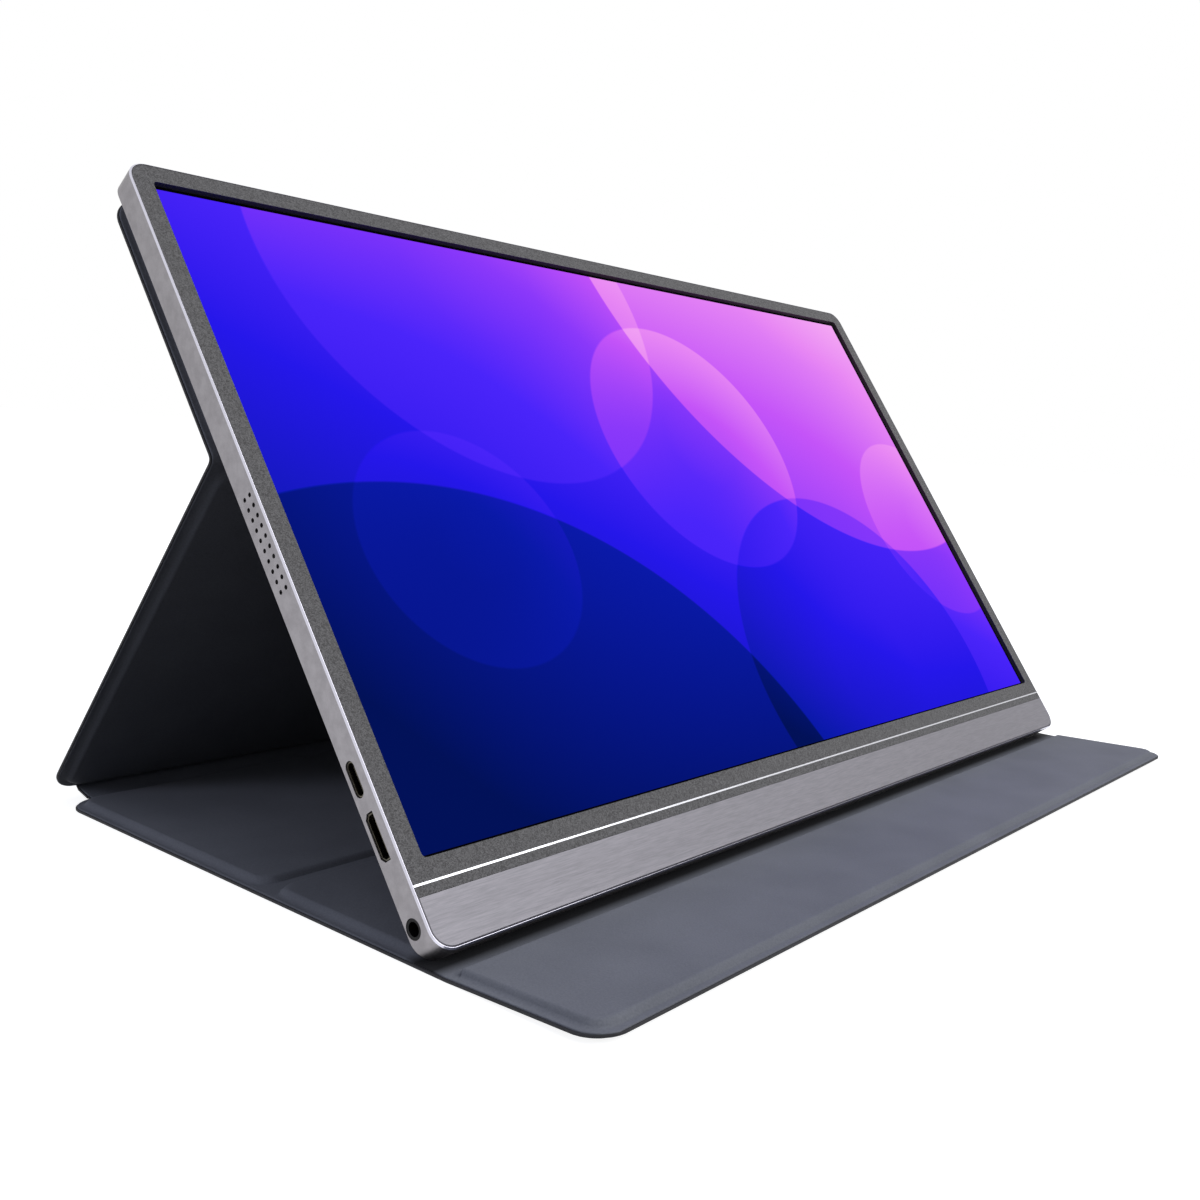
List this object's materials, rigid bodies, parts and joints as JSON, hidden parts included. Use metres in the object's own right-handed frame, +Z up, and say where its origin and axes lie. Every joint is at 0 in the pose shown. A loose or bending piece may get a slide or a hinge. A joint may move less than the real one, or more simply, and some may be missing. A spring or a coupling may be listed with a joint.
{
  "type": "portable monitor with folding cover",
  "caption": "Thin portable monitor standing tilted in a padded folding cover that makes a triangular stand behind it, with a flap on the table in front.",
  "frame": {"origin": "on the table, under the middle of the bottom front edge of the monitor as it stands on its cover", "axes": "+Z up; -Y the way the screen faces; +X to the right for someone who looks at the screen"},
  "size_m": [0.3581, 0.2302, 0.1855],
  "materials": {
    "cover_skin": "fine-grained dark grey synthetic leather, matt",
    "cover_lining": "grey suede-like microfibre with a fine nap",
    "cover_board": "plain grey pressed board",
    "magnet": "nickel-plated magnet",
    "aluminium": "sand-blasted warm grey anodised, with a polished chamfer round the front",
    "brushed_chin": "brushed along its length, anodised light grey",
    "button_metal": "satin anodised",
    "bezel": "dark grey with a fine leather-like grain",
    "accent": "bright silver line",
    "tape": "black foam tape",
    "screen": "lit display panel with an anti-glare surface",
    "film": "white translucent sheet",
    "led": "yellowish phosphor strip",
    "steel": "plain tinned steel",
    "circuit_board": "green solder resist",
    "ribbon": "amber polyimide film",
    "black_plastic": "black moulded plastic"
  },
  "bodies": {
    "base": {"base_skin": "cover_skin", "seat_lining": "cover_lining", "middle_lining": "cover_lining", "rear_lining": "cover_lining", "middle_board": "cover_board", "rear_board": "cover_board"},
    "front_flap": {"flap_skin": "cover_skin", "flap_lining": "cover_lining", "flap_board": "cover_board", "flap_magnets": "magnet"},
    "spine": {"spine_skin": "cover_skin", "spine_lining": "cover_lining"},
    "support": {"support_skin": "cover_skin", "support_lining": "cover_lining", "support_board": "cover_board"},
    "back_panel": {"back_skin": "cover_skin", "back_lining": "cover_lining", "back_board": "cover_board", "back_magnets": "magnet"},
    "monitor": {"rear_shell": "aluminium", "front_bezel": "bezel", "chin_trim": "brushed_chin", "accent_strip": "accent", "bezel_tape": "tape", "lcd_cell": "screen", "optical_films": "film", "light_guide": "film", "led_bar": "led", "backlight_tray": "steel", "panel_driver_board": "circuit_board", "panel_ribbon": "ribbon", "main_board": "circuit_board", "control_board": "circuit_board", "board_ribbon": "ribbon", "board_screws": "steel", "usb_c_port_left": "steel", "usb_c_port_right": "steel", "mini_hdmi_port": "steel", "headphone_socket": "black_plastic", "speaker_left": "black_plastic", "speaker_right": "black_plastic", "steel_plates": "steel"},
    "power_button": {"power_button": "button_metal"},
    "wheel_carrier": {"wheel_carrier": "black_plastic"},
    "menu_wheel": {"menu_wheel": "button_metal"}
  },
  "joints": [
    {"name": "front_flap_fold", "type": "hinge", "parent": "base", "child": "front_flap", "pos_m": [0, -0.002, 0.00055], "axis": [-1, 0, 0], "range_deg": [0, 85]},
    {"name": "spine_fold", "type": "hinge", "parent": "base", "child": "spine", "pos_m": [0, 0.1715, 0.00055], "axis": [-1, 0, 0], "range_deg": [0, 14.62]},
    {"name": "support_fold", "type": "hinge", "parent": "spine", "child": "support", "pos_m": [0, 0.18118, 0.00307], "axis": [-1, 0, 0], "range_deg": [0, 115.64]},
    {"name": "back_fold", "type": "hinge", "parent": "support", "child": "back_panel", "pos_m": [0, 0.09069, 0.1099], "axis": [1, 0, 0], "range_deg": [0, 76.27]},
    {"name": "monitor_release", "type": "slide", "parent": "back_panel", "child": "monitor", "axis": [0, -0.809, 0.5878], "range_m": [0, 0.2]},
    {"name": "power_button_press", "type": "slide", "parent": "monitor", "child": "power_button", "axis": [-1, 0, 0], "range_m": [0, 0.0004], "stiffness_N_per_m": 2500, "springref_m": -0.0003},
    {"name": "menu_wheel_press", "type": "slide", "parent": "monitor", "child": "wheel_carrier", "axis": [-1, 0, 0], "range_m": [0, 0.0004], "stiffness_N_per_m": 2500, "springref_m": -0.0003},
    {"name": "menu_wheel_turn", "type": "hinge", "parent": "wheel_carrier", "child": "menu_wheel", "pos_m": [0.1762, 0.04135, 0.05243], "axis": [0, -0.809, 0.5878], "range_deg": [-12, 12], "stiffness_Nm_per_rad": 0.02}
  ],
  "couplings": [
    {"joint": "spine_fold", "follows": "support_fold", "ratio": 0.12647},
    {"joint": "back_fold", "follows": "support_fold", "ratio": 0.6595}
  ]
}
